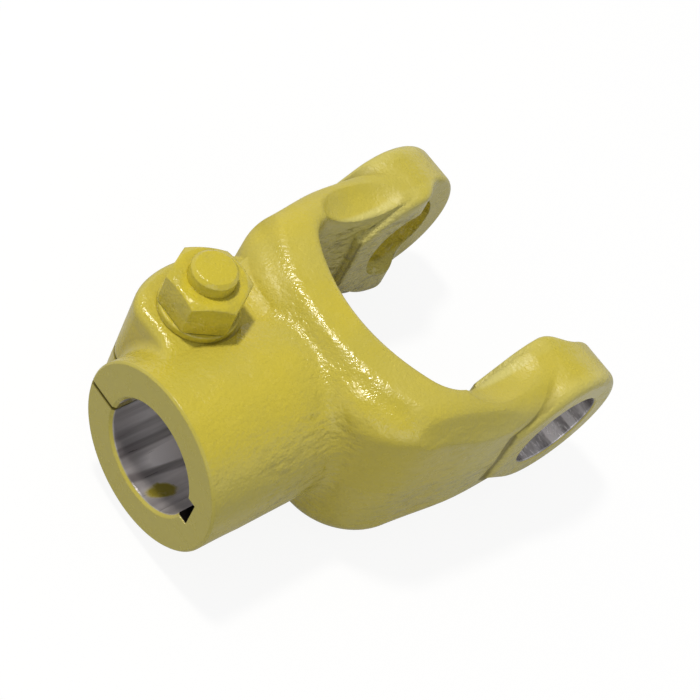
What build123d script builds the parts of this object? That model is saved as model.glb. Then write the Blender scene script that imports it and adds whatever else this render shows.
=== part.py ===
from build123d import *
from math import cos, radians, sin, tan
import os

os.makedirs("parts", exist_ok=True)

# The frame: origin at the joint centre, where the hub axis meets the bearing axis.
# X runs along the hub from its face (minus) to the ear tips (plus).
# Y is the bearing axis and Z is the clamp bolt axis, with the nut on top.
# All dimensions are in millimetres.

# Hub and keyed bore
hub_radius = 29.0
hub_rear_radius = 29.2
hub_length = 43.6
hub_edge = 0.6
ring_length = 7.1
ring_step = 8.0
bore_radius = 17.5
bore_chamfer = 1.0
key_width = 10.0
key_floor = 20.8
neck_round = 6.0

# Saw cut that lets the hub close on its shaft
slit_width = 1.2
slit_past_flank = 4.0

# Clamp boss, and the bolt hole through it
bolt_to_flank = 16.9
bolt_y = 24.6
seat_z = 25.5
seat_cut_radius = 13.2
boss_setback = 10.6
boss_outer_y = 42.0
boss_corner_x = 20.0
boss_corner_y = 11.5
boss_corner_start = 6.0
boss_corner_end = 130.0
boss_flare = 3.0
boss_round = 3.0
boss_side_run = 14.0
seat_blend = 8.0
blend_angle = 47.0
blend_sink = 0.3
blend_turn = 60.0
blend_end_y = 33.0
bolt_hole_radius = 7.4

# Fork body, drawn at the parting plane and drafted away from it
fork_half_height = 31.5
fork_draft = 3.0
web_thick = 24.5
shoulder_radius = 26.0
shoulder_y = 19.2
shoulder_turn = 83.0
rim_round = 10.0
inner_round = 2.2
rim_margin = 0.6
crotch_radius = 55.5
crotch_corner = 12.0
arm_root_y = 34.3
arm_middle_y = 30.4
arm_tip_y = 29.2
arm_outer_y = 49.9
arm_half_height = 24.2
arm_drop_length = 47.0
arm_end_x = -13.0
arm_bow_x = 23.0
arm_bow_y = 0.9

# Ears and bearing bores
ear_radius = 24.5
ear_back_x = -25.0
ear_back_z = 12.5
ear_outer_y = 50.8
ear_inner_y = 28.5
tip_inner_y = 34.2
ramp_start_x = -2.5
ramp_end_x = 11.0
ear_outer_round = 3.5
ear_inner_round = 2.0
bearing_radius = 15.1
bearing_chamfer = 0.7

# Scoops on the inner edges of both arms, and one flat on the outer top edge of the minus Y arm
scoop_x = -22.5
scoop_y = 33.5
scoop_z = 34.8
scoop_half_length = 21.0
scoop_radius = 14.0
flat_x = -45.0
flat_y = -43.9
flat_z = 23.2
flat_facing = (-0.08, -0.87, 0.45)

# Clamp bolt, washer and nut, metric M14
shank_radius = 7.0
hex_flats = 22.0
head_height = 8.8
bolt_top_z = 45.0
bolt_chamfer = 1.1
washer_radius = 12.2
washer_hole_radius = 7.5
washer_edge = 0.4
washer_thick = 2.7
nut_height = 11.9
nut_foot_radius = 12.0
hex_chamfer = 1.2

# Places along X that follow from those lengths
flank_x = -crotch_radius - web_thick
hub_face_x = flank_x - hub_length
ring_end_x = hub_face_x + ring_length
bore_end_x = flank_x + web_thick + 10.5
slit_end_x = flank_x + slit_past_flank
bolt_x = flank_x - bolt_to_flank
boss_front_x = hub_face_x + boss_setback
arm_start_x = arm_end_x - arm_drop_length
# Longer than the part in any direction, for what is cut right through it
beyond = 2 * hub_length + 2 * web_thick + crotch_radius


def fork_plan():
    """Half plan of the fork at the parting plane, on the plus Y side."""
    x_meet = -((crotch_radius**2 - arm_root_y**2) ** 0.5)
    centre = (flank_x + shoulder_radius, shoulder_y)
    turn = radians(shoulder_turn)
    shoulder_end = (
        centre[0] - shoulder_radius * cos(turn),
        centre[1] + shoulder_radius * sin(turn),
    )
    half_angle = radians(20.0)
    with BuildSketch() as plan:
        with BuildLine():
            Polyline((-crotch_radius, 0), (flank_x, 0), (flank_x, shoulder_y))
            CenterArc(centre, shoulder_radius, 180, -shoulder_turn)
            Spline(
                shoulder_end,
                (arm_end_x - arm_bow_x, arm_outer_y - arm_bow_y),
                (arm_end_x, arm_outer_y),
                tangents=[(sin(turn), cos(turn)), (1.0, 0.0)],
            )
            Polyline(
                (arm_end_x, arm_outer_y),
                (0, arm_outer_y),
                (0, arm_tip_y),
            )
            ThreePointArc((0, arm_tip_y), (x_meet / 2, arm_middle_y), (x_meet, arm_root_y))
            ThreePointArc(
                (x_meet, arm_root_y),
                (-crotch_radius * cos(half_angle), crotch_radius * sin(half_angle)),
                (-crotch_radius, 0),
            )
        make_face()
        corner = plan.vertices().sort_by_distance((x_meet, arm_root_y))[0]
        fillet(corner, crotch_corner)
    return plan.sketch


def ear_plan():
    """Plan of one ear boss, thinner at the tip so the cross can swing in."""
    reach = ear_radius + 1
    with BuildSketch() as plan:
        with BuildLine():
            Polyline(
                (ramp_end_x, tip_inner_y),
                (reach, tip_inner_y),
                (reach, ear_outer_y),
                (ear_back_x - 1, ear_outer_y),
                (ear_back_x - 1, ear_inner_y),
                (ramp_start_x, ear_inner_y),
            )
            Spline(
                (ramp_start_x, ear_inner_y),
                (ramp_end_x, tip_inner_y),
                tangents=[(1.0, 0.0), (1.0, 0.0)],
            )
        make_face()
    return plan.sketch


def ear_profile():
    """Side view of one ear, round at its tip and drawn out to a straight back."""
    reach = ear_back_x**2 + ear_back_z**2
    along = ear_radius**2 / reach
    across = ear_radius * (reach - ear_radius**2) ** 0.5 / reach
    touch_x = along * ear_back_x + across * ear_back_z
    touch_z = along * ear_back_z - across * ear_back_x
    with BuildSketch(Plane.XZ) as profile:
        with BuildLine():
            Polyline(
                (touch_x, touch_z),
                (ear_back_x, ear_back_z),
                (ear_back_x, -ear_back_z),
                (touch_x, -touch_z),
            )
            ThreePointArc((touch_x, -touch_z), (ear_radius, 0), (touch_x, touch_z))
        make_face()
    return profile.sketch


def on_rim(edge):
    """True for the top and bottom edges along the fork's walls, not across its arms."""
    at = edge.center()
    seam = min(abs(at.X - arm_start_x), abs(at.X - arm_end_x)) < rim_margin
    end = at.X > arm_end_x / 4
    return abs(at.Z) > arm_half_height - rim_margin and not seam and not end


def on_outer_rim(edge):
    """True for a rim edge along the outside of the fork."""
    at = edge.center()
    return on_rim(edge) and (at.X < flank_x + shoulder_y or abs(at.Y) > arm_outer_y - rim_round)


def on_inner_rim(edge):
    """True for a rim edge along the inside of the fork."""
    at = edge.center()
    return on_rim(edge) and at.X > flank_x + shoulder_y and abs(at.Y) < arm_outer_y - rim_round


# The hollow that the forging die presses into each inner edge of the arms
with BuildPart() as scoops:
    with BuildSketch(Plane((scoop_x, scoop_y, scoop_z))):
        Ellipse(scoop_half_length, scoop_radius)
        Rectangle(
            2 * scoop_half_length,
            scoop_radius,
            align=(Align.CENTER, Align.MIN),
            mode=Mode.INTERSECT,
        )
    revolve(axis=Axis((scoop_x, scoop_y, scoop_z), (1, 0, 0)))
    mirror(about=Plane.XY)
    mirror(about=Plane.XZ)

# Fork body, an open horseshoe with drafted walls
with BuildPart() as fork:
    with BuildSketch() as plan:
        add(fork_plan())
        mirror(about=Plane.XZ)
    extrude(amount=fork_half_height, taper=fork_draft)
    mirror(about=Plane.XY)
    with BuildSketch(Plane.XZ) as side:
        with BuildLine():
            Polyline(
                (arm_end_x, arm_half_height),
                (ear_radius, arm_half_height),
                (ear_radius, -arm_half_height),
                (arm_end_x, -arm_half_height),
            )
            Spline(
                (arm_end_x, -arm_half_height),
                (arm_start_x, -fork_half_height),
                tangents=[(-1, 0), (-1, 0)],
            )
            Polyline(
                (arm_start_x, -fork_half_height),
                (-beyond, -fork_half_height),
                (-beyond, fork_half_height),
                (arm_start_x, fork_half_height),
            )
            Spline(
                (arm_start_x, fork_half_height),
                (arm_end_x, arm_half_height),
                tangents=[(1, 0), (1, 0)],
            )
        make_face()
    extrude(amount=beyond, both=True, mode=Mode.INTERSECT)
    fillet(fork.edges().filter_by(on_outer_rim), rim_round)
    fillet(fork.edges().filter_by(on_inner_rim), inner_round)
    with BuildSketch(Plane((flat_x, flat_y, flat_z), (1, 0, 0), flat_facing)):
        Rectangle(arm_drop_length, arm_drop_length)
    extrude(amount=rim_round, mode=Mode.SUBTRACT)

# One ear boss, a round pad that carries a bearing bore
with BuildPart() as ear:
    with BuildSketch():
        add(ear_plan())
    extrude(amount=ear_radius + 1, both=True)
    with BuildSketch(Plane.XZ):
        add(ear_profile())
    extrude(amount=-beyond, mode=Mode.INTERSECT)
    fillet(ear.edges().filter_by(lambda e: e.center().Y > ear_outer_y - 0.1), ear_outer_round)
    inner_rim = ear.edges().filter_by(
        lambda e: e.center().Y < tip_inner_y + 1 and Vector(e.center().X, 0, e.center().Z).length > 20
    )
    fillet(inner_rim, ear_inner_round)

# Clamp boss, flared in front where it runs down into the hub ring
flare_foot_x = boss_front_x - boss_flare
flare_top_r = hub_radius + boss_flare
with BuildPart() as boss:
    with BuildSketch():
        with BuildLine():
            centre = (
                boss_front_x + boss_corner_x * cos(radians(boss_corner_start)),
                boss_outer_y - boss_corner_y,
            )
            corner = EllipticalCenterArc(
                centre,
                boss_corner_x,
                boss_corner_y,
                start_angle=180 - boss_corner_start,
                arc_size=boss_corner_start - boss_corner_end,
            )
            side_foot = corner @ 1 + (corner % 1) * boss_side_run
            Polyline(
                corner @ 0,
                (flare_foot_x, (corner @ 0).Y),
                (flare_foot_x, 0),
                (side_foot.X, 0),
                side_foot,
                corner @ 1,
            )
        make_face()
    extrude(amount=seat_z, both=True)
    with BuildSketch(Plane.XZ):
        with BuildLine():
            RadiusArc((flare_foot_x, hub_radius), (boss_front_x, flare_top_r), -boss_flare)
            Polyline(
                (boss_front_x, flare_top_r),
                (boss_front_x, beyond),
                (0, beyond),
                (0, 0),
                (flare_foot_x, 0),
                (flare_foot_x, hub_radius),
            )
        make_face()
    revolve(axis=Axis.X, mode=Mode.INTERSECT)
    seat_rim = boss.edges().filter_by(
        lambda e: abs(e.center().Z) > seat_z - 0.1 and e.center().Y > boss_outer_y / 3
    )
    fillet(seat_rim, boss_round)

# Concave blend from the seat up to the rounded rim of the fork
draft_x = flank_x + (fork_half_height - rim_round) * tan(radians(fork_draft))
rim_centre = (draft_x + rim_round, fork_half_height - rim_round)
blend_rise = seat_z + seat_blend - rim_centre[1]
blend_x = rim_centre[0] - ((seat_blend + rim_round) ** 2 - blend_rise**2) ** 0.5 + blend_sink
top = (
    blend_x + seat_blend * sin(radians(blend_angle)),
    seat_z + seat_blend * (1 - cos(radians(blend_angle))),
)
inside = (top[0] + rim_round / 5, rim_round)
with BuildPart() as blend:
    with BuildSketch(Plane.XZ) as blend_face:
        with BuildLine():
            Polyline(
                top,
                (inside[0], top[1]),
                inside,
                (blend_x, inside[1]),
                (blend_x, seat_z),
            )
            RadiusArc((blend_x, seat_z), top, -seat_blend)
        make_face()
    extrude(amount=-shoulder_y)
    with BuildSketch(Plane.XZ.offset(-shoulder_y)):
        add(blend_face.sketch)
    pivot = Axis((flank_x + shoulder_radius, shoulder_y, 0), (0, 0, -1))
    revolve(axis=pivot, revolution_arc=blend_turn)
    with BuildSketch():
        Rectangle(beyond, blend_end_y, align=(Align.MAX, Align.MIN))
    extrude(amount=beyond, mode=Mode.INTERSECT)
    mirror(about=Plane.XY)

# The forged yoke: hub, fork, boss and ears in one piece
with BuildPart() as yoke:
    add(fork.part)
    with BuildSketch(Plane.XZ):
        with BuildLine():
            Polyline(
                (hub_face_x, 0),
                (hub_face_x, hub_radius - hub_edge),
                (hub_face_x + hub_edge, hub_radius),
                (ring_end_x, hub_radius),
                (ring_end_x + ring_step, hub_rear_radius),
                (flank_x + ring_step, hub_rear_radius),
                (flank_x + ring_step, 0),
                close=True,
            )
        make_face()
    revolve(axis=Axis.X)
    neck = yoke.edges().filter_by(
        lambda e: abs(e.center().X - flank_x) < ring_step
        and Vector(0, e.center().Y, e.center().Z).length < hub_rear_radius + 2
    )
    fillet(neck, neck_round)
    add(boss.part)
    add(blend.part)
    add(ear.part)
    add(ear.part.mirror(Plane.XZ))
    add(scoops.part, mode=Mode.SUBTRACT)

    # Flat seats for the washer and the bolt head, milled a little into the barrel
    with Locations((bolt_x, bolt_y, seat_z)):
        Cylinder(
            seat_cut_radius,
            seat_blend,
            align=(Align.CENTER, Align.CENTER, Align.MIN),
            mode=Mode.SUBTRACT,
        )
    with Locations((bolt_x, bolt_y, -seat_z)):
        Cylinder(
            seat_cut_radius,
            seat_blend,
            align=(Align.CENTER, Align.CENTER, Align.MAX),
            mode=Mode.SUBTRACT,
        )

    # Bore for the shaft, chamfered at the hub face, with its keyway opposite the boss
    with BuildSketch(Plane.XZ):
        with BuildLine():
            Polyline(
                (hub_face_x - 1, 0),
                (hub_face_x - 1, bore_radius + bore_chamfer + 1),
                (hub_face_x + bore_chamfer, bore_radius),
                (bore_end_x, bore_radius),
                (bore_end_x, 0),
                close=True,
            )
        make_face()
    revolve(axis=Axis.X, mode=Mode.SUBTRACT)
    with Locations(((hub_face_x + bore_end_x) / 2, 0, 0)):
        Box(
            bore_end_x - hub_face_x + 2,
            key_floor,
            key_width,
            align=(Align.CENTER, Align.MAX, Align.CENTER),
            mode=Mode.SUBTRACT,
        )

    # Saw cut through the hub wall and between the two halves of the boss
    with Locations((hub_face_x - 1, 0, 0)):
        Box(
            slit_end_x - hub_face_x + 1,
            beyond,
            slit_width,
            align=(Align.MIN, Align.MIN, Align.CENTER),
            mode=Mode.SUBTRACT,
        )
    with Locations((bolt_x, bolt_y, 0)):
        Cylinder(bolt_hole_radius, 2 * beyond, mode=Mode.SUBTRACT)

    # Bearing bores through both ears, chamfered at their outer faces
    with BuildSketch(Plane.XY):
        with BuildLine():
            Polyline(
                (0, -ear_outer_y - 1),
                (bearing_radius + bearing_chamfer + 1, -ear_outer_y - 1),
                (bearing_radius, -ear_outer_y + bearing_chamfer),
                (bearing_radius, ear_outer_y - bearing_chamfer),
                (bearing_radius + bearing_chamfer + 1, ear_outer_y + 1),
                (0, ear_outer_y + 1),
                close=True,
            )
        make_face()
    revolve(axis=Axis.Y, mode=Mode.SUBTRACT)

yoke.part.label = "yoke"
export_step(yoke.part, "parts/yoke.step")

# Clamp bolt, its hexagon head under the lower seat
with BuildPart() as clamp_bolt:
    with BuildSketch(Plane.XY.offset(-seat_z - head_height)):
        with Locations((bolt_x, bolt_y)):
            RegularPolygon(hex_flats / 2, 6, major_radius=False, rotation=30)
    extrude(amount=head_height)
    with BuildSketch(Plane.XZ.offset(-bolt_y)):
        with BuildLine():
            head_x = bolt_x + hex_flats / 2
            Polyline(
                (bolt_x, -seat_z - head_height),
                (head_x - hex_chamfer / 2, -seat_z - head_height),
                (head_x + hex_chamfer * 3, -seat_z - head_height + hex_chamfer * 2),
                (head_x + hex_chamfer * 3, -seat_z),
                (bolt_x, -seat_z),
                close=True,
            )
        make_face()
    revolve(axis=Axis((bolt_x, bolt_y, 0), (0, 0, 1)), mode=Mode.INTERSECT)
    with BuildSketch(Plane.XY.offset(-seat_z)):
        with Locations((bolt_x, bolt_y)):
            Circle(shank_radius)
    extrude(amount=seat_z + bolt_top_z)
    chamfer(clamp_bolt.edges().group_by(Axis.Z)[-1], bolt_chamfer)

clamp_bolt.part.label = "clamp_bolt"
export_step(clamp_bolt.part, "parts/clamp_bolt.step")

# Washer on the upper seat
with BuildPart() as washer:
    with BuildSketch(Plane.XY.offset(seat_z)):
        with Locations((bolt_x, bolt_y)):
            Circle(washer_radius)
            Circle(washer_hole_radius, mode=Mode.SUBTRACT)
    extrude(amount=washer_thick)
    chamfer(washer.edges().filter_by(lambda e: e.length > 6 * washer_radius), washer_edge)

washer.part.label = "washer"
export_step(washer.part, "parts/washer.step")

# Hexagon nut on the washer, chamfered on both faces
nut_base_z = seat_z + washer_thick
with BuildPart() as nut:
    with BuildSketch(Plane.XY.offset(nut_base_z)):
        with Locations((bolt_x, bolt_y)):
            RegularPolygon(hex_flats / 2, 6, major_radius=False, rotation=30)
    extrude(amount=nut_height)
    with BuildSketch(Plane.XZ.offset(-bolt_y)):
        with BuildLine():
            nut_x = bolt_x + hex_flats / 2
            Polyline(
                (bolt_x, nut_base_z),
                (bolt_x + nut_foot_radius, nut_base_z),
                (nut_x + hex_chamfer * 3, nut_base_z + hex_chamfer * 2),
                (nut_x + hex_chamfer * 3, nut_base_z + nut_height - hex_chamfer * 2),
                (nut_x - hex_chamfer / 2, nut_base_z + nut_height),
                (bolt_x, nut_base_z + nut_height),
                close=True,
            )
        make_face()
    revolve(axis=Axis((bolt_x, bolt_y, 0), (0, 0, 1)), mode=Mode.INTERSECT)
    with BuildSketch(Plane.XY.offset(nut_base_z)):
        with Locations((bolt_x, bolt_y)):
            Circle(shank_radius)
    extrude(amount=nut_height, mode=Mode.SUBTRACT)

nut.part.label = "nut"
export_step(nut.part, "parts/nut.step")
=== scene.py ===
"""Looks of a forged yoke with a split clamp hub, two eared arms, and its clamp bolt, washer and nut.

Every size is in metres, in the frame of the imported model: X runs along the hub's axis towards the
ears, Y along the axis of the two bearing bores, and Z up along the clamp bolt.
"""

from __future__ import annotations

import logging
from dataclasses import dataclass
from enum import Enum
from functools import cached_property, reduce
from math import radians
from operator import mul
from typing import Any

import bpy
from mathutils import Matrix, Vector

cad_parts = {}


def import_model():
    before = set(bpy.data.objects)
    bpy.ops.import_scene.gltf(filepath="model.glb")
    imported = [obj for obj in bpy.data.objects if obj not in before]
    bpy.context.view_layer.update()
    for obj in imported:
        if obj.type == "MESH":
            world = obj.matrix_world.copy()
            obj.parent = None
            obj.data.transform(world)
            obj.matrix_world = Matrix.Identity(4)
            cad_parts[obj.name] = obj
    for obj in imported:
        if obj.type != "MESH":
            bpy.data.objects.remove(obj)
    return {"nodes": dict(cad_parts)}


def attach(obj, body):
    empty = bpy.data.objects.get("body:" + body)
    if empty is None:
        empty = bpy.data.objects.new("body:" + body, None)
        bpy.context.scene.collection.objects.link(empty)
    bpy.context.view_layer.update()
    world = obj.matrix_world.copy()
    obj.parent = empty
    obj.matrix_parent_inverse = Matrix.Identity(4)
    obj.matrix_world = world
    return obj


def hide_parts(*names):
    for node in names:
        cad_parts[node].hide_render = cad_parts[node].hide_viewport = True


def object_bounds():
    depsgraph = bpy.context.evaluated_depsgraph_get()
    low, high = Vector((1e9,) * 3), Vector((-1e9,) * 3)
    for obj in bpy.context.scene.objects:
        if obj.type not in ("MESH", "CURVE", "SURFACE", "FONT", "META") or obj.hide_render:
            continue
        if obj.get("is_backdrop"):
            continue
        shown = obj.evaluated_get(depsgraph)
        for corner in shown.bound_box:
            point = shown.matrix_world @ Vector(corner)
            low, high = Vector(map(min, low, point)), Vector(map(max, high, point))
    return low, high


log = logging.getLogger("forged_yoke")

Colour = tuple[float, float, float]
Point = tuple[float, float, float]

WHITE: Colour = (1.0, 1.0, 1.0)
BEVEL_SAMPLES = 6


class Coating(Enum):
    """What covers a surface."""

    ENAMEL = "enamel"
    BARE_STEEL = "bare steel"


class Side(Enum):
    """One of the two arms, by the way its Y coordinate points."""

    FAR = 1.0
    NEAR = -1.0


class Field:
    """A number that varies over a surface. Its operators write Math nodes."""

    def __init__(self, graph: NodeGraph, socket: bpy.types.NodeSocket) -> None:
        """Wraps an output socket of a graph."""
        self.graph = graph
        self.socket = socket

    def math(self, operation: str, *others: Field | float, first: bool = True) -> Field:
        """Writes one Math node on this field.

        Args:
            operation: The Math node's operation.
            others: The other operand, if the operation has one.
            first: False puts this field after the other operand.

        Returns:
            The node's result.
        """
        terms = [self, *others] if first else [*others, self]
        node = self.graph.node("ShaderNodeMath", {"operation": operation}, dict(enumerate(terms)))
        return Field(self.graph, node.outputs[0])

    def __add__(self, other: Field | float) -> Field:
        """Adds."""
        return self.math("ADD", other)

    __radd__ = __add__

    def __sub__(self, other: Field | float) -> Field:
        """Subtracts."""
        return self.math("SUBTRACT", other)

    def __rsub__(self, other: float) -> Field:
        """Subtracts this field from a number."""
        return self.math("SUBTRACT", other, first=False)

    def __mul__(self, other: Field | float) -> Field:
        """Multiplies."""
        return self.math("MULTIPLY", other)

    __rmul__ = __mul__

    def __pow__(self, other: float) -> Field:
        """Raises to a power."""
        return self.math("POWER", other)

    def __abs__(self) -> Field:
        """Takes the size without the sign."""
        return self.math("ABSOLUTE")

    def at_most(self, other: Field | float) -> Field:
        """Takes the smaller of the two."""
        return self.math("MINIMUM", other)

    def at_least(self, other: Field | float) -> Field:
        """Takes the larger of the two."""
        return self.math("MAXIMUM", other)

    def centred(self) -> Field:
        """Shifts noise that lies about 0.5 to lie about 0."""
        return self - 0.5

    def rise(self, low: float, high: float) -> Field:
        """Runs smoothly from 0 where this field is low to 1 where it is high.

        Args:
            low: The value that gives 0.
            high: The value that gives 1; it may be the smaller of the two.

        Returns:
            A mask from 0 to 1.
        """
        node = self.graph.node(
            "ShaderNodeMapRange",
            {"interpolation_type": "SMOOTHSTEP"},
            {"Value": self, "From Min": low, "From Max": high},
        )
        return Field(self.graph, node.outputs["Result"])

    def band(self, start: float, end: float, soft: float) -> Field:
        """Is 1 between two values and falls to 0 outside them over a soft edge.

        Args:
            start: The lower value.
            end: The upper value.
            soft: How far the edge takes to fall.

        Returns:
            A mask from 0 to 1.
        """
        return self.rise(start - soft, start) * self.rise(end + soft, end)


class NodeGraph:
    """The nodes of one material or of the surround."""

    def __init__(self, owner: bpy.types.Material | bpy.types.World, place: str = "Object") -> None:
        """Empties the owner's nodes and starts from its coordinates.

        Args:
            owner: The material or world that holds the nodes.
            place: The coordinates that patterns use.
        """
        self.owner = owner
        owner.use_nodes = True
        self.tree = owner.node_tree
        self.tree.nodes.clear()
        self.place = self.node("ShaderNodeTexCoord").outputs[place]
        split = self.node("ShaderNodeSeparateXYZ", sockets={"Vector": self.place})
        self.x, self.y, self.z = (Field(self, out) for out in split.outputs)

    @classmethod
    def of_material(cls, name: str) -> NodeGraph:
        """Starts a new material of that name."""
        return cls(bpy.data.materials.new(name))

    def node(
        self,
        kind: str,
        settings: dict[str, Any] | None = None,
        sockets: dict[str | int, Any] | None = None,
    ) -> bpy.types.Node:
        """Adds one node.

        Args:
            kind: The node's type.
            settings: Its properties, such as a Math node's operation.
            sockets: Its inputs by name or number, each a value, a Field or an output socket.

        Returns:
            The new node.
        """
        node = self.tree.nodes.new(kind)
        for key, value in (settings or {}).items():
            setattr(node, key, value)
        for key, value in (sockets or {}).items():
            target = node.inputs[key]
            if isinstance(value, Field):
                self.tree.links.new(value.socket, target)
            elif isinstance(value, bpy.types.NodeSocket):
                self.tree.links.new(value, target)
            else:
                target.default_value = value
        return node

    @cached_property
    def y_size(self) -> Field:
        """Y without its sign."""
        return abs(self.y)

    @cached_property
    def z_size(self) -> Field:
        """Z without its sign."""
        return abs(self.z)

    @cached_property
    def upward(self) -> Field:
        """How far the surface faces straight up or down.

        Returns:
            0 on an upright surface, and 1 on one that faces up or down.
        """
        facing = self.node("ShaderNodeTexCoord").outputs["Normal"]
        split = self.node("ShaderNodeSeparateXYZ", sockets={"Vector": facing})
        return abs(Field(self, split.outputs["Z"]))

    def rays(self) -> tuple[Field, Field]:
        """Tells apart the rays that reach this graph.

        Returns:
            A mask of the camera's own rays, and one of rays that were mirrored or let through.
        """
        path = self.node("ShaderNodeLightPath")
        seen, mirrored, through = (
            Field(self, path.outputs[name])
            for name in ("Is Camera Ray", "Is Glossy Ray", "Is Transmission Ray")
        )
        return seen, mirrored.at_least(through)

    @staticmethod
    def radius_about(first: Field, second: Field) -> Field:
        """Gives the distance from an axis, from the two coordinates across it."""
        return (first * first + second * second) ** 0.5

    def noise(self, grain: float, detail: float, stretch: Point = (1.0, 1.0, 1.0)) -> Field:
        """Gives fractal noise about 0.5.

        Args:
            grain: The size of its lumps, in metres.
            detail: How many finer layers it has.
            stretch: How many times longer the lumps are along each axis.

        Returns:
            The noise value.
        """
        scale = tuple(1.0 / (grain * value) for value in stretch)
        placed = self.node("ShaderNodeMapping", sockets={"Vector": self.place, "Scale": scale})
        node = self.node(
            "ShaderNodeTexNoise",
            sockets={"Vector": placed.outputs[0], "Scale": 1.0, "Detail": detail},
        )
        return Field(self, node.outputs["Fac"])

    def blend(self, factor: Field | float, start: Any, end: Any) -> bpy.types.NodeSocket:
        """Mixes two colours.

        Args:
            factor: 0 gives start and 1 gives end.
            start: A colour, or a socket that gives one.
            end: A colour, or a socket that gives one.

        Returns:
            The mixed colour's socket.
        """
        colours = [(*c, 1.0) if isinstance(c, tuple) else c for c in (start, end)]
        # A Mix node's colours are its inputs 6 and 7, and its output 2
        node = self.node(
            "ShaderNodeMix",
            {"data_type": "RGBA", "clamp_factor": True},
            {0: factor, 6: colours[0], 7: colours[1]},
        )
        return node.outputs[2]

    def relief(self, height: Field, rounding: Field | float) -> bpy.types.NodeSocket:
        """Turns a height into a bent normal, over edges that are rounded first.

        Args:
            height: The height, in metres.
            rounding: The radius that the paint gives to edges, in metres.

        Returns:
            The Bump node's normal.
        """
        edge = self.node("ShaderNodeBevel", {"samples": BEVEL_SAMPLES}, {"Radius": rounding})
        bump = self.node(
            "ShaderNodeBump",
            sockets={"Height": height, "Distance": 1.0, "Normal": edge.outputs["Normal"]},
        )
        return bump.outputs["Normal"]

    def surface(self, uniform: dict[str, Any], varying: dict[str, Any]) -> bpy.types.Material:
        """Ends the graph in a Principled shader.

        Args:
            uniform: Sockets that are the same all over.
            varying: Sockets that change over the surface.

        Returns:
            The finished material.
        """
        shader = self.node("ShaderNodeBsdfPrincipled", sockets={**uniform, **varying})
        self.node("ShaderNodeOutputMaterial", sockets={"Surface": shader.outputs[0]})
        return self.owner


@dataclass(frozen=True)
class Ramp:
    """A smooth climb from 0 at one value to 1 at another."""

    low: float
    high: float

    def over(self, field: Field) -> Field:
        """Gives the mask of this climb along a field."""
        return field.rise(self.low, self.high)


@dataclass(frozen=True)
class Span:
    """A stretch that is 1, with edges that fall smoothly to 0 outside it."""

    start: float
    end: float
    soft: float

    def over(self, field: Field) -> Field:
        """Gives the mask of this stretch along a field."""
        return field.band(self.start, self.end, self.soft)


Bound = Ramp | Span


@dataclass(frozen=True)
class Zone:
    """A part of a piece that is bounded along the axes, and how strongly it shows.

    The bounds y_size and z_size are on Y and Z without their signs, so they count for both arms
    or for both faces.
    """

    x: Bound | None = None
    y: Bound | None = None
    z: Bound | None = None
    y_size: Bound | None = None
    z_size: Bound | None = None
    share: float = 1.0

    def over(self, graph: NodeGraph) -> Field:
        """Writes the zone's mask.

        Args:
            graph: The graph that gets its nodes.

        Returns:
            A mask from 0 to the zone's share.
        """
        bounds = (
            (self.x, graph.x),
            (self.y, graph.y),
            (self.z, graph.z),
            (self.y_size, graph.y_size),
            (self.z_size, graph.z_size),
        )
        return reduce(mul, (bound.over(axis) for bound, axis in bounds if bound)) * self.share


@dataclass(frozen=True)
class YokeSizes:
    """Sizes of the forging that its finishes follow.

    Above and below ear_back_z the ears' backs lean towards +X, by ear_lean metres for each metre
    of height. The ridge across the fork lies at ridge_x plus ridge_bow times the square of Y.
    """

    hub_face: float = -0.1236
    bore_radius: float = 0.0175
    bore_chamfer: float = 0.001
    bore_end: float = -0.045
    key_half_width: float = 0.005
    key_floor: float = 0.0208
    slit_half_width: float = 0.0006
    slit_end: float = -0.076
    bearing_radius: float = 0.0151
    ear_back: float = -0.025
    ear_back_z: float = 0.0125
    ear_lean: float = 1.45
    ear_inner: float = 0.0285
    ridge_x: float = -0.070
    ridge_bow: float = 7.0


@dataclass(frozen=True)
class BoreEdges:
    """How far the finish of each cut surface reaches past the edges of that surface."""

    hub_wall: Ramp = Ramp(0.00045, 0.00015)
    hub_ends: float = 0.0004
    ear_wall: Ramp = Ramp(0.0004, 0.0002)
    ear_chamfer: Ramp = Ramp(0.0001, 0.0002)
    ear_face: Ramp = Ramp(-0.001, 0.0)
    key_side: Ramp = Ramp(0.0004, 0.0001)
    key_floor: float = 0.0002
    key_mouth: float = 0.0016
    key_ends: float = 0.0006
    slit_side: Ramp = Ramp(0.00030, 0.00005)
    slit_start: Ramp = Ramp(-0.001, 0.0)
    slit_end: Ramp = Ramp(0.001, 0.0)


@dataclass(frozen=True)
class PaintRuns:
    """Two runs of enamel inside the hub bore: a slanting oval patch below, a strip at the saw cut.

    For the patch, patch_long and patch_wide turn metres along X and Y into radii of the oval, one
    for each of its two directions.
    """

    grain: float = 0.004
    wander: float = 0.003
    patch_x: float = -0.1166
    patch_y: float = -0.0046
    patch_long: tuple[float, float] = (171.0, -136.0)
    patch_wide: tuple[float, float] = (160.0, 339.0)
    patch_edge: Ramp = Ramp(1.20, 0.80)
    patch_low: Ramp = Ramp(-0.012, -0.014)
    strip: Zone = Zone(x=Ramp(-0.1155, -0.1185), y=Ramp(0.014, 0.016))
    strip_height: Span = Span(0.0006, 0.0036, 0.0005)
    strip_wander: float = 0.2


@dataclass(frozen=True)
class Creases:
    """The ears' back edges, outside and inside the arms, where dark lines of painted shade run."""

    grain: float = 0.003
    wander: float = 0.0012
    outer: Zone = Zone(z=Ramp(0.027, 0.012), y_size=Ramp(0.040, 0.044), share=0.85)
    outer_width: Span = Span(-0.0012, 0.0005, 0.0010)
    inner: Zone = Zone(y_size=Ramp(0.0295, 0.0290), share=0.6)
    inner_width: Span = Span(0.0005, 0.0010, 0.0004)


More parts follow.
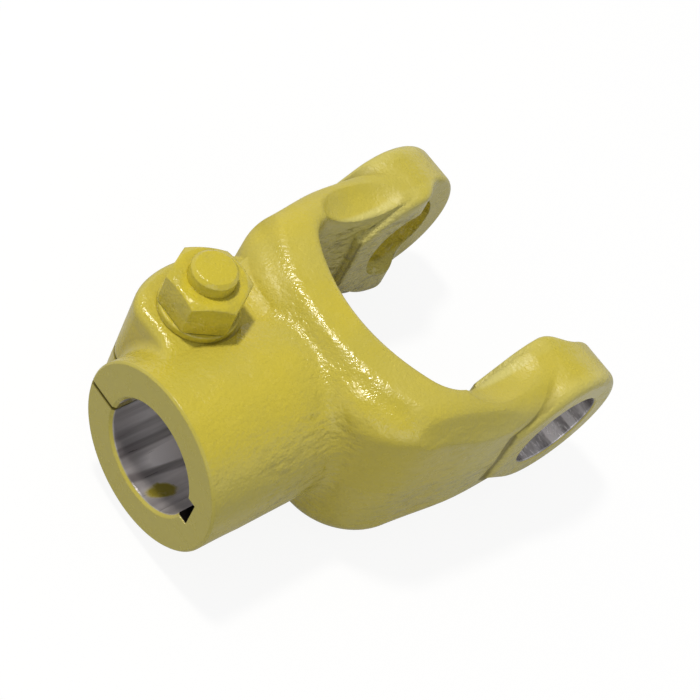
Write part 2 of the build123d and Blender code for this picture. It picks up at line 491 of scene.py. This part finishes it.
@dataclass(frozen=True)
class YokeZones:
    """Where the forging's skin and enamel change."""

    outer_pits: Zone = Zone(
        x=Span(-0.066, -0.004, 0.010), z=Ramp(0.018, 0.0), y_size=Ramp(0.036, 0.044), share=0.35
    )
    inner_pits: Zone = Zone(
        x=Span(-0.066, -0.004, 0.010), z=Ramp(0.022, 0.016), y_size=Span(0.022, 0.0345, 0.003)
    )
    neck_pits: Zone = Zone(
        x=Span(-0.100, -0.076, 0.010), z=Ramp(0.029, 0.018), y_size=Ramp(0.034, 0.030), share=0.50
    )
    least_pits: float = 0.07
    crown: Zone = Zone(y=Ramp(-0.048, -0.030))
    crown_slope: Ramp = Ramp(0.0028, -0.0062)
    coarse: Zone = Zone(y_size=Ramp(0.040, 0.028))
    coarse_width: Span = Span(-0.0110, 0.0005, 0.0020)
    peened: Zone = Zone(x=Span(-0.0810, -0.0735, 0.0020), y=Span(-0.0110, 0.0090, 0.0050))
    dulled: Zone = Zone(x=Ramp(-0.0870, -0.0820), y=Ramp(0.0110, 0.0170))
    dulled_start: Ramp = Ramp(-0.0015, -0.0040)
    soft_forms: Zone = Zone(x=Span(-0.062, -0.004, 0.004), y_size=Ramp(0.012, 0.020))
    soft_clearance: Ramp = Ramp(0.001, 0.004)
    smooth_face: Ramp = Ramp(0.0012, 0.0004)
    # painted light: the arms' inner walls
    inner_walls: Zone = Zone(
        x=Ramp(-0.060, -0.045), y_size=Ramp(0.0350, 0.0335), z_size=Ramp(0.026, 0.020), share=0.9
    )
    # painted reflection: a greyer sheen on the arms' outer sides
    outer_sheen: Zone = Zone(x=Ramp(-0.058, -0.035), y_size=Ramp(0.0440, 0.0492), share=0.45)
    level: Ramp = Ramp(0.10, 0.75)


class BoreMasks:
    """Masks of the surfaces that were cut into the forging, each written once."""

    def __init__(self, graph: NodeGraph, sizes: YokeSizes) -> None:
        """Keeps what the masks are written from.

        Args:
            graph: The graph that gets the nodes.
            sizes: The forging's sizes that the masks follow.
        """
        self.graph = graph
        self.sizes = sizes
        self.edges = BoreEdges()
        self.run = PaintRuns()

    @cached_property
    def hub_wall(self) -> Field:
        """The hub bore's bare wall.

        Returns:
            A mask from 0 to 1.
        """
        g, s, e = self.graph, self.sizes, self.edges
        inside = e.hub_wall.over(g.radius_about(g.y, g.z) - s.bore_radius)
        return inside * g.x.band(s.hub_face + s.bore_chamfer, s.bore_end, e.hub_ends)

    @cached_property
    def keyway(self) -> Field:
        """The keyway's floor and sides.

        Returns:
            A mask from 0 to 1.
        """
        g, s, e = self.graph, self.sizes, self.edges
        across = e.key_side.over(g.z_size - s.key_half_width)
        depth = g.y.band(-s.key_floor - e.key_floor, -s.bore_radius + e.key_mouth, e.key_floor)
        return across * depth * g.x.band(s.hub_face + e.key_ends, s.bore_end, e.key_ends)

    @cached_property
    def saw_cut(self) -> Field:
        """The two faces of the saw cut.

        Returns:
            A mask from 0 to 1.
        """
        g, s, e = self.graph, self.sizes, self.edges
        across = e.slit_side.over(g.z_size - s.slit_half_width)
        outside = e.slit_start.over(g.y - s.bore_radius)
        return across * outside * e.slit_end.over(g.x - s.slit_end)

    @cached_property
    def bearing_depth(self) -> Field:
        """How far a place lies outside the radius of the bearing bores."""
        g = self.graph
        return g.radius_about(g.x, g.z) - self.sizes.bearing_radius

    def ear_bore(self, side: Side) -> Field:
        """Gives a mask of one ear's bearing bore.

        Args:
            side: The arm that carries the ear.

        Returns:
            A mask from 0 to 1.
        """
        beside = self.graph.y * side.value - self.sizes.ear_inner
        return self.edges.ear_wall.over(self.bearing_depth) * self.edges.ear_face.over(beside)

    @cached_property
    def far_bore(self) -> Field:
        """The +Y ear's bearing bore, which is painted."""
        return self.ear_bore(Side.FAR)

    @cached_property
    def near_bore(self) -> Field:
        """The -Y ear's bearing bore, which is bare."""
        return self.ear_bore(Side.NEAR)

    @cached_property
    def bore_lip(self) -> Field:
        """The bearing bores' chamfers."""
        return self.edges.ear_chamfer.over(self.bearing_depth)

    @cached_property
    def paint_runs(self) -> Field:
        """The enamel that ran into the hub bore.

        Returns:
            A mask from 0 to 1.
        """
        g, r = self.graph, self.run
        ragged = g.noise(r.grain, detail=2.0).centred() * r.wander
        ahead, aside = g.x - r.patch_x, g.y - r.patch_y + ragged
        long = ahead * r.patch_long[0] + aside * r.patch_long[1]
        wide = ahead * r.patch_wide[0] + aside * r.patch_wide[1]
        patch = r.patch_edge.over(g.radius_about(long, wide)) * r.patch_low.over(g.z)
        strip = r.strip.over(g) * r.strip_height.over(g.z + ragged * r.strip_wander)
        return patch.at_least(strip)

    @cached_property
    def bare(self) -> Field:
        """The steel that no enamel covers, the keyway apart."""
        return self.hub_wall.at_least(self.near_bore) * (1.0 - self.paint_runs)


class SkinMasks:
    """Masks of the forged and painted surfaces, each written once."""

    def __init__(self, graph: NodeGraph, sizes: YokeSizes, bores: BoreMasks) -> None:
        """Keeps what the masks are written from.

        Args:
            graph: The graph that gets the nodes.
            sizes: The forging's sizes that the masks follow.
            bores: The masks of the cut surfaces.
        """
        self.graph = graph
        self.sizes = sizes
        self.bores = bores
        self.zones = YokeZones()
        self.crease = Creases()

    @cached_property
    def shaded_creases(self) -> Field:
        """The lines along the ears' backs, darkened as painted shade.

        Returns:
            A mask from 0 to 1, as dark as each line is.
        """
        g, s, c = self.graph, self.sizes, self.crease
        behind = g.x - s.ear_back + g.noise(c.grain, detail=2.0).centred() * c.wander
        leaning = (g.z_size - s.ear_back_z).at_least(0.0) * s.ear_lean
        # painted shade: dark lines along the ears' back edges
        outer = c.outer_width.over(behind - leaning) * c.outer.over(g)
        return outer.at_least(c.inner_width.over(behind) * c.inner.over(g))

    @cached_property
    def pitted(self) -> Field:
        """The walls where the forged skin is roughest.

        Returns:
            A mask from the least roughness of the skin to 1.
        """
        g, z = self.graph, self.zones
        arms = z.outer_pits.over(g).at_least(z.inner_pits.over(g))
        pits = arms.at_least(z.neck_pits.over(g)).at_least(self.bores.far_bore)
        return pits * (1.0 - z.least_pits) + z.least_pits

    @cached_property
    def inward(self) -> Field:
        """How far a place lies inside the ridge that bows across the fork's faces."""
        g, s = self.graph, self.sizes
        return g.x - s.ridge_x - g.y * g.y * s.ridge_bow

    @cached_property
    def crown(self) -> Field:
        """The height that the fork's faces lose outside their ridge, from 0 to 1."""
        return self.zones.crown_slope.over(self.inward) * self.zones.crown.over(self.graph)

    @cached_property
    def coarse(self) -> Field:
        """The ridge and the hub's neck, where the skin under the paint is coarse."""
        return self.zones.coarse_width.over(self.inward) * self.zones.coarse.over(self.graph)

    @cached_property
    def peened(self) -> Field:
        """The patch of the hub's neck where the skin is coarsest."""
        return self.zones.peened.over(self.graph)

    @cached_property
    def dulled(self) -> Field:
        """The +Y shoulder behind the nut, where the enamel is dull."""
        return self.zones.dulled_start.over(self.inward) * self.zones.dulled.over(self.graph)

    @cached_property
    def soft_forms(self) -> Field:
        """The arms' scoops and flats, whose edges the forging left soft."""
        clear = self.zones.soft_clearance.over(self.bores.bearing_depth)
        return self.zones.soft_forms.over(self.graph) * clear

    @cached_property
    def smooth_face(self) -> Field:
        """The hub's faced front, where the skin is cut away."""
        return self.zones.smooth_face.over(self.graph.x - self.sizes.hub_face)

    @cached_property
    def painted_sheen(self) -> Field:
        """Painted light on the arms' inner walls and a painted greyish reflection on their outer
        sides.
        """
        g, z = self.graph, self.zones
        return z.inner_walls.over(g).at_least(z.outer_sheen.over(g))

    @cached_property
    def level(self) -> Field:
        """The surfaces that face up or down, where the wet enamel lay."""
        return self.zones.level.over(self.graph.upward)


@dataclass(frozen=True)
class Enamel:
    """Glossy enamel, sprayed thick over a forged skin.

    Grains are the widths of lumps, depths their heights, and rounds the radii of edges, in metres.
    """

    fresh: Colour = (0.590, 0.487, 0.042)
    thin: Colour = (0.500, 0.432, 0.068)
    # painted light and reflection: a lighter, greyer tone for the arms' walls
    painted_sheen: Colour = (0.640, 0.575, 0.170)
    # a dark olive for painted shade in crease lines, the saw cut and bore runs, and for the darker
    # wrinkle dips
    dark_olive: Colour = (0.170, 0.135, 0.012)
    refraction: float = 1.6
    roughness: float = 0.20
    rough_patch: float = 0.34
    patch_grain: float = 0.004
    patches: Ramp = Ramp(0.45, 0.7)
    peel_grain: float = 0.0011
    peel_depth: float = 0.00028
    swell_grain: float = 0.0075
    swell_depth: float = 0.00040
    wrinkle_grain: float = 0.0024
    wrinkle_depth: float = 0.0016
    wrinkle_stretch: Point = (2.2, 1.4, 1.0)
    edge_round: float = 0.0005
    crease_round: float = 0.0030
    crown_depth: float = 0.0029


@dataclass(frozen=True)
class EnamelShares:
    """How strongly each kind of surface changes the yoke's enamel."""

    cloud_grain: float = 0.028
    clouds: Ramp = Ramp(0.36, 0.66)
    thin_clouds: float = 0.6
    # painted shade: how far the hub's front face takes the darker thin tone
    face_shade: float = 0.75
    pits: Ramp = Ramp(0.46, 0.30)
    # how much darker the wrinkles' dips are
    pit_darkening: float = 0.40
    # painted shade in the narrow saw cut
    cut_shade: float = 0.8
    # painted shade: how much darker the enamel runs in the bore are
    run_shade: float = 0.72
    soft_roughness: float = 0.22
    crease_roughness: float = 0.30
    dull_roughness: float = 0.25
    cut_roughness: float = 0.7
    coarse_swell: float = 0.3
    least_peel: float = 0.25
    peened_peel: float = 0.5
    face_smoothness: float = 0.8


@dataclass(frozen=True)
class BareSteel:
    """Bored steel, left bare, with an oily film."""

    # bright and dark bound the bores' sheen: painted reflections and painted shade, with the streaks
    bright: Colour = (0.98, 0.94, 0.95)
    dark: Colour = (0.12, 0.102, 0.108)
    # painted shade: the keyway is coloured near-black for the shade inside the slot
    keyway: Colour = (0.014, 0.012, 0.012)
    metallic: float = 0.35
    roughness: float = 0.20
    streak_roughness: float = 0.25
    near_polish: float = 0.08
    streak_grain: float = 0.0013
    band_grain: float = 0.0045
    streak_length: float = 16.0
    scratch_depth: float = 0.00004


@dataclass(frozen=True)
class HubSheen:
    """Streaks, reflections and shadows on the hub bore's wall, from dark at 0 to bright at 1."""

    level: float = 0.74
    streaks: float = 0.6
    bands: float = 1.1
    # painted light: the wall is painted darker at the mouth and brighter deeper in
    inner: Ramp = Ramp(0.002, 0.017)
    outer_level: float = 0.40
    # painted highlight: a bright reflection band on the lower wall
    shine: Zone = Zone(y=Span(0.0036, 0.0070, 0.0014), z=Ramp(0.0, -0.008))
    shine_outer: float = 0.10
    shine_inner: float = 0.95
    # painted dark reflection bands along the wall
    line_slant: float = 0.13
    slanted_line: Span = Span(0.0024, 0.0040, 0.0010)
    wide_line: Zone = Zone(y=Span(0.0096, 0.0110, 0.0010))
    thin_line: Zone = Zone(y=Span(0.0134, 0.0146, 0.0006), share=0.4)
    line_depth: float = 0.50


@dataclass(frozen=True)
class EarSheen:
    """Streaks, reflections and shadows on the -Y bearing bore's wall, from 0 to 1."""

    level: float = 0.60
    streaks: float = 1.0
    streak_size: float = 0.6
    streak_stretch: Point = (1.0, 3.0, 1.0)
    bands: float = 1.2
    band_size: float = 0.8
    # painted highlights: two bright reflection bands low on the wall
    lower_shine: Zone = Zone(x=Ramp(0.005, 0.007), z=Span(-0.0128, -0.0112, 0.0008))
    upper_shine: Zone = Zone(x=Ramp(0.005, 0.007), z=Span(-0.0078, -0.0060, 0.0006))
    shine: float = 0.9
    # painted shade at the bore's two ends
    front_end: Zone = Zone(x=Ramp(0.0, 0.004), z=Ramp(-0.001, 0.005))
    back_end: Zone = Zone(x=Ramp(-0.003, -0.009))
    end_shade: float = 0.9


class YokeDress:
    """The yoke's one material: enamel over the forged skin, and bare bores."""

    def __init__(self, sizes: YokeSizes, enamel: Enamel, steel: BareSteel) -> None:
        """Starts the material and its masks.

        Args:
            sizes: The forging's sizes that the finishes follow.
            enamel: The paint.
            steel: The bare bores' finish.
        """
        self.sizes = sizes
        self.enamel = enamel
        self.steel = steel
        self.shares = EnamelShares()
        self.hub = HubSheen()
        self.ear = EarSheen()
        self.graph = NodeGraph.of_material("yoke_enamel_and_steel")
        self.bores = BoreMasks(self.graph, sizes)
        self.skin = SkinMasks(self.graph, sizes, self.bores)

    @cached_property
    def wrinkles(self) -> Field:
        """The wrinkles of the forged skin."""
        e = self.enamel
        return self.graph.noise(e.wrinkle_grain, detail=3.0, stretch=e.wrinkle_stretch)

    @cached_property
    def hub_streaks(self) -> Field:
        """The fine streaks along the hub bore."""
        st = self.steel
        return self.graph.noise(st.streak_grain, detail=3.0, stretch=(st.streak_length, 1.0, 1.0))

    @cached_property
    def ear_streaks(self) -> Field:
        """The fine streaks along the bearing bores."""
        grain = self.steel.streak_grain * self.ear.streak_size
        return self.graph.noise(grain, detail=3.0, stretch=self.ear.streak_stretch)

    @cached_property
    def streaks(self) -> Field:
        """The fine streaks of every bare bore."""
        near = self.bores.near_bore
        return self.hub_streaks * (1.0 - near) + self.ear_streaks * near

    def hub_sheen(self) -> Field:
        """Adds up the streaks, the painted shine and the painted dark reflection bands along the hub
        bore.

        Returns:
            How bright the steel is, with 1 as its brightest.
        """
        g, st, sheen = self.graph, self.steel, self.hub
        along = g.x - self.sizes.hub_face
        inner = sheen.inner.over(along)
        bands = g.noise(st.band_grain, detail=1.5, stretch=(st.streak_length, 1.0, 1.0))
        # painted highlight: the bright reflection band, stronger deeper in
        shine = sheen.shine.over(g) * (inner * sheen.shine_inner + sheen.shine_outer)
        # painted dark reflection bands
        lines = sheen.slanted_line.over(g.y + along * sheen.line_slant)
        lines = lines.at_least(sheen.wide_line.over(g)).at_least(sheen.thin_line.over(g))
        marks = self.hub_streaks.centred() * sheen.streaks + bands.centred() * sheen.bands
        wall = marks + shine - lines * sheen.line_depth + sheen.level
        # painted light: darker at the bore's mouth, brighter deeper in
        return wall * (inner * (1.0 - sheen.outer_level) + sheen.outer_level)

    def ear_sheen(self) -> Field:
        """Adds up the streaks, the painted highlights, and the painted shade at the ends and on the
        chamfer of the -Y bearing bore.

        Returns:
            How bright the steel is, with 1 as its brightest.
        """
        g, st, sheen = self.graph, self.steel, self.ear
        grain = st.band_grain * sheen.band_size
        bands = g.noise(grain, detail=1.5, stretch=(1.0, st.streak_length, 1.0))
        # painted highlights
        shine = sheen.lower_shine.over(g).at_least(sheen.upper_shine.over(g)) * sheen.shine
        marks = self.ear_streaks.centred() * sheen.streaks + bands.centred() * sheen.bands
        # painted shade at the ends and on the chamfer
        ends = sheen.front_end.over(g).at_least(sheen.back_end.over(g))
        ends = ends.at_least(self.bores.bore_lip)
        return (marks + shine + sheen.level) * (1.0 - ends * sheen.end_shade)

    def steel_colour(self) -> bpy.types.NodeSocket:
        """Mixes the bare bores' colour, with its painted reflections and shade, and the keyway's
        painted shade.

        Returns:
            The colour's socket.
        """
        st, near = self.steel, self.bores.near_bore
        sheen = self.hub_sheen() * (1.0 - near) + self.ear_sheen() * near
        colour = self.graph.blend(sheen.at_least(0.0).at_most(1.0), st.dark, st.bright)
        # painted shade: near-black over the keyway
        return self.graph.blend(self.bores.keyway, colour, st.keyway)

    def paint_colour(self) -> bpy.types.NodeSocket:
        """Mixes the enamel's colour, with thin places, painted shade and sheen, and darker wrinkle
        dips.

        Returns:
            The colour's socket.
        """
        g, e, sh, skin, bores = self.graph, self.enamel, self.shares, self.skin, self.bores
        clouds = sh.clouds.over(g.noise(sh.cloud_grain, detail=3.0)) * sh.thin_clouds
        # painted shade: the hub's front face in the darker thin tone
        paint = g.blend(clouds.at_least(skin.smooth_face * sh.face_shade), e.fresh, e.thin)
        # painted light and reflection on the arms' walls
        paint = g.blend(skin.painted_sheen, paint, e.painted_sheen)
        # darker where the wrinkles dip, and painted shade along the crease lines
        darkening = (sh.pits.over(self.wrinkles) * skin.pitted * sh.pit_darkening).at_least(skin.shaded_creases)
        # painted shade in the saw cut
        darkening = darkening.at_least(bores.saw_cut * sh.cut_shade)
        # painted shade on the enamel runs inside the bore
        darkening = darkening.at_least(bores.paint_runs * bores.hub_wall * sh.run_shade)
        return g.blend(darkening, paint, e.dark_olive)

    def roughness(self) -> Field:
        """Adds up the roughness of paint and steel.

        Returns:
            The roughness.
        """
        e, st, sh, skin, bores = self.enamel, self.steel, self.shares, self.skin, self.bores
        patches = e.patches.over(self.graph.noise(e.patch_grain, detail=2.0))
        paint = e.roughness + (e.rough_patch - e.roughness) * patches
        paint = paint + skin.soft_forms * skin.level * sh.soft_roughness
        paint = paint + skin.shaded_creases * sh.crease_roughness + skin.dulled * sh.dull_roughness
        steel = self.streaks * st.streak_roughness + st.roughness - bores.near_bore * st.near_polish
        rough = paint * (1.0 - bores.bare) + steel * bores.bare
        return rough.at_least(bores.keyway).at_least(bores.saw_cut * sh.cut_roughness)

    def height(self) -> Field:
        """Adds up the relief of paint, forged skin and scratches.

        Returns:
            The height, in metres.
        """
        g, e, sh, skin, bores = self.graph, self.enamel, self.shares, self.skin, self.bores
        swell_share = skin.coarse * sh.coarse_swell + skin.peened + 1.0
        peel_share = skin.level * (1.0 - sh.least_peel) + sh.least_peel
        peel_share = peel_share + skin.peened * sh.peened_peel
        swell = g.noise(e.swell_grain, detail=2.5).centred() * swell_share * e.swell_depth
        peel = g.noise(e.peel_grain, detail=2.0).centred() * peel_share * e.peel_depth
        relief = swell + peel + self.wrinkles.centred() * skin.pitted * e.wrinkle_depth
        forged = 1.0 - bores.hub_wall.at_least(bores.near_bore)
        forged = forged * (1.0 - skin.smooth_face * sh.face_smoothness)
        scratches = self.streaks.centred() * self.steel.scratch_depth * bores.bare
        return relief * forged + scratches - skin.crown * e.crown_depth

    def dress(self, node: bpy.types.Object) -> None:
        """Finishes the material and puts it on the yoke.

        Args:
            node: The yoke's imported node.
        """
        g, e, bores = self.graph, self.enamel, self.bores
        unpainted = bores.bare.at_least(bores.keyway)
        rounding = self.skin.soft_forms * (e.crease_round - e.edge_round) + e.edge_round
        material = g.surface(
            {"IOR": e.refraction},
            {
                "Base Color": g.blend(unpainted, self.paint_colour(), self.steel_colour()),
                "Metallic": (bores.bare * self.steel.metallic).at_least(bores.keyway),
                "Roughness": self.roughness(),
                "Normal": g.relief(self.height(), rounding),
            },
        )
        node.data.materials.clear()
        node.data.materials.append(material)


@dataclass(frozen=True)
class ForgedYoke:
    """The one-piece forging: clamp hub, fork, arms and ears."""

    node: str = "yoke"
    sizes: YokeSizes = YokeSizes()
    enamel: Enamel = Enamel()
    steel: BareSteel = BareSteel()

    def dress(self, nodes: dict[str, bpy.types.Object]) -> None:
        """Gives the yoke its enamel and its bare bores."""
        YokeDress(self.sizes, self.enamel, self.steel).dress(nodes[self.node])
        log.info("%s: %s and %s", self.node, Coating.ENAMEL.value, Coating.BARE_STEEL.value)


@dataclass(frozen=True)
class FastenerFinish:
    """Enamel on a machined fastener, smoother than on the forging.

    The shade line, where there is one, is a dark line of painted shade under the piece.
    """

    node: str
    slot: str
    rounding: float
    fresh: Colour = (0.590, 0.485, 0.036)
    thin: Colour = (0.46, 0.39, 0.045)
    cloud_grain: float = 0.006
    clouds: Ramp = Ramp(0.4, 0.7)
    thin_clouds: float = 0.6
    patch_grain: float = 0.003
    rough_patch: float = 0.12
    swell_grain: float = 0.005
    swell_depth: float = 0.00025
    gap: Zone | None = None
    shade_line_colour: Colour = (0.05, 0.04, 0.01)


@dataclass(frozen=True)
class ClampSet:
    """The bolt, washer and nut that close the split hub."""

    bolt: FastenerFinish = FastenerFinish("clamp_bolt", "painted_bolt", rounding=0.00045)
    washer: FastenerFinish = FastenerFinish(
        "washer",
        "painted_washer",
        rounding=0.00018,
        fresh=(0.56, 0.465, 0.036),
        thin=(0.42, 0.355, 0.045),
    )
    nut: FastenerFinish = FastenerFinish(
        "nut",
        "painted_nut",
        rounding=0.00050,
        # painted shade: a dark line along the nut's foot
        gap=Zone(z=Span(0.0278, 0.0284, 0.00015), share=0.9),
    )
    enamel: Enamel = Enamel()
    merge_distance: float = 0.000001
    flat_angle: float = radians(1.0)
    edge_angle: float = radians(24.0)
    edge_segments: int = 3
    smooth_angle: float = radians(32.0)

    def merge_faces(self) -> None:
        """Joins the active piece's loose triangles into whole faces that point outwards."""
        bpy.ops.object.mode_set(mode="EDIT")
        bpy.ops.mesh.select_all(action="SELECT")
        bpy.ops.mesh.remove_doubles(threshold=self.merge_distance)
        bpy.ops.mesh.dissolve_limited(angle_limit=self.flat_angle)
        bpy.ops.mesh.normals_make_consistent(inside=False)
        bpy.ops.object.mode_set(mode="OBJECT")

    def round_over(self, node: bpy.types.Object, width: float) -> bpy.types.Object:
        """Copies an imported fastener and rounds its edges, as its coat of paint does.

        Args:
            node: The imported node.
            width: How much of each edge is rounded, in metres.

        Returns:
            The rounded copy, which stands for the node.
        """
        bpy.ops.object.select_all(action="DESELECT")
        node.select_set(True)
        bpy.context.view_layer.objects.active = node
        bpy.ops.object.duplicate()
        piece = bpy.context.active_object
        for key in list(piece.keys()):
            del piece[key]
        self.merge_faces()
        bpy.ops.object.modifier_add(type="BEVEL")
        bevel = piece.modifiers[-1]
        bevel.width = width
        bevel.segments = self.edge_segments
        bevel.limit_method = "ANGLE"
        bevel.angle_limit = self.edge_angle
        bpy.ops.object.modifier_apply(modifier=bevel.name)
        bpy.ops.object.shade_smooth_by_angle(angle=self.smooth_angle)
        return piece

    def paint(self, piece: bpy.types.Object, finish: FastenerFinish) -> None:
        """Builds one fastener's enamel and puts it on.

        Args:
            piece: The rounded fastener.
            finish: Its colours and relief.
        """
        g, e = NodeGraph.of_material(f"{finish.node}_enamel"), self.enamel
        clouds = finish.clouds.over(g.noise(finish.cloud_grain, detail=3.0))
        colour = g.blend(clouds * finish.thin_clouds, finish.fresh, finish.thin)
        # painted shade under the piece
        if finish.gap:
            colour = g.blend(finish.gap.over(g), colour, finish.shade_line_colour)
        patches = e.patches.over(g.noise(finish.patch_grain, detail=2.0))
        peel = g.noise(e.peel_grain, detail=2.0).centred() * e.peel_depth
        swell = g.noise(finish.swell_grain, detail=2.0).centred() * finish.swell_depth
        material = g.surface(
            {"IOR": e.refraction},
            {
                "Base Color": colour,
                "Roughness": e.roughness + patches * finish.rough_patch,
                "Normal": g.relief(peel + swell, finish.rounding),
            },
        )
        piece.data.materials.clear()
        piece.data.materials.append(material)

    def dress(self, nodes: dict[str, bpy.types.Object]) -> None:
        """Makes and paints the three rounded fasteners.

        Args:
            nodes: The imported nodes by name.
        """
        for finish in (self.bolt, self.washer, self.nut):
            piece = self.round_over(nodes[finish.node], finish.rounding)
            piece.name = f"{finish.node}_painted"
            self.paint(piece, finish)
            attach(piece, "root")
            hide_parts(finish.node)
            log.info("%s: %s", piece.name, Coating.ENAMEL.value)


@dataclass(frozen=True)
class Viewpoint:
    """The place that the photograph was taken from, with its lens and sensor in millimetres."""

    location: Point = (-0.370905, -0.163024, 0.428802)
    right: Point = (0.7358, -0.5901, 0.3323)
    up: Point = (0.3505, 0.7517, 0.5587)
    towards_viewer: Point = (-0.5795, -0.2947, 0.7599)
    lens: float = 94.706
    sensor: float = 36.0
    nearest: float = 0.01
    farthest: float = 50.0

    def place_camera(self) -> None:
        """Makes the scene's camera there."""
        data = bpy.data.cameras.new("photo_camera")
        data.lens = self.lens
        data.sensor_width = self.sensor
        data.clip_start = self.nearest
        data.clip_end = self.farthest
        camera = bpy.data.objects.new("photo_camera", data)
        bpy.context.scene.collection.objects.link(camera)
        turn = Matrix((self.right, self.up, self.towards_viewer)).transposed()
        camera.matrix_world = Matrix.Translation(Vector(self.location)) @ turn.to_4x4()
        bpy.context.scene.camera = camera


@dataclass(frozen=True)
class Lamp:
    """One soft round lamp."""

    name: str
    direction: Point
    distance: float
    width: float
    power: float
    colour: Colour

    def hang(self) -> None:
        """Hangs the lamp, facing the origin."""
        data = bpy.data.lights.new(self.name, "AREA")
        data.shape = "DISK"
        data.size = self.width
        data.energy = self.power
        data.color = self.colour
        lamp = bpy.data.objects.new(self.name, data)
        bpy.context.scene.collection.objects.link(lamp)
        place = Vector(self.direction).normalized() * self.distance
        lamp.location = place
        lamp.rotation_mode = "QUATERNION"
        lamp.rotation_quaternion = (-place).to_track_quat("-Z", "Y")


@dataclass(frozen=True)
class Studio:
    """A pale floor, a pale surround and soft lamps."""

    floor_size: float = 6.0
    floor_gap: float = 0.0002
    floor_bounce: Colour = (0.45, 0.45, 0.45)
    floor_glow_seen: float = 0.90
    floor_glow_mirrored: float = 0.25
    surround: Colour = (0.97, 0.98, 1.0)
    surround_strength: float = 0.42
    wall_glow: float = 0.95
    ceiling_glow: float = 0.30
    ceiling_height: Ramp = Ramp(0.25, 0.60)
    key: Lamp = Lamp(
        "key_lamp",
        direction=(-0.20, 0.31, 0.92),
        distance=1.6,
        width=0.18,
        power=16.0,
        colour=(1.0, 0.96, 0.88),
    )
    fill: Lamp = Lamp(
        "fill_lamp",
        direction=(-0.60, -0.75, 0.50),
        distance=2.0,
        width=1.2,
        power=4.5,
        colour=(0.95, 0.98, 1.0),
    )

    def lay_floor(self, height: float) -> None:
        """Lays the floor under the part.

        Args:
            height: The floor's height, in metres.
        """
        bpy.ops.object.select_all(action="DESELECT")
        bpy.ops.mesh.primitive_plane_add(size=self.floor_size, location=(0.0, 0.0, height))
        floor = bpy.context.active_object
        floor.name = "studio_floor"
        graph = NodeGraph.of_material("studio_floor")
        seen, mirrored = graph.rays()
        shade = graph.blend(seen, self.floor_bounce, WHITE)
        matt = graph.node("ShaderNodeBsdfDiffuse", sockets={"Color": shade})
        white = graph.node("ShaderNodeEmission", sockets={"Color": (*WHITE, 1.0)})
        share = (seen * self.floor_glow_seen).at_least(mirrored * self.floor_glow_mirrored)
        mixed = graph.node(
            "ShaderNodeMixShader", sockets={0: share, 1: matt.outputs[0], 2: white.outputs[0]}
        )
        graph.node("ShaderNodeOutputMaterial", sockets={"Surface": mixed.outputs[0]})
        floor.data.materials.append(graph.owner)
        floor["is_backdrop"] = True

    def light_world(self) -> None:
        """Gives the surround its light, bright walls for mirrors, and white for the camera."""
        world = bpy.data.worlds.new("studio_surround")
        graph = NodeGraph(world, "Generated")
        seen, mirrored = graph.rays()
        upper = self.ceiling_height.over(graph.z)
        glow = self.wall_glow + (self.ceiling_glow - self.wall_glow) * upper
        light, walls, white = (
            graph.node(
                "ShaderNodeBackground", sockets={"Color": (*colour, 1.0), "Strength": strength}
            ).outputs[0]
            for colour, strength in (
                (self.surround, self.surround_strength),
                (WHITE, glow),
                (WHITE, 1.0),
            )
        )
        unseen = graph.node("ShaderNodeMixShader", sockets={0: mirrored, 1: light, 2: walls})
        whole = graph.node(
            "ShaderNodeMixShader", sockets={0: seen, 1: unseen.outputs[0], 2: white}
        )
        graph.node("ShaderNodeOutputWorld", sockets={"Surface": whole.outputs[0]})
        bpy.context.scene.world = world

    def build(self, floor_height: float) -> None:
        """Builds the floor, surround and lamps.

        Args:
            floor_height: The height of the part's lowest point, in metres.
        """
        self.lay_floor(floor_height - self.floor_gap)
        self.light_world()
        for lamp in (self.key, self.fill):
            lamp.hang()
            log.info("lamp: %s", lamp.name)


def main() -> None:
    """Loads the frame, dresses each piece, and builds the studio."""
    logging.basicConfig(level=logging.INFO, format="%(name)s: %(message)s")
    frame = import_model()
    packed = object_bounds()
    bpy.context.scene.view_settings.view_transform = "Standard"
    Viewpoint().place_camera()
    Studio().build(packed[0].z)
    ForgedYoke().dress(frame["nodes"])
    ClampSet().dress(frame["nodes"])


if __name__ == "__main__":
    main()
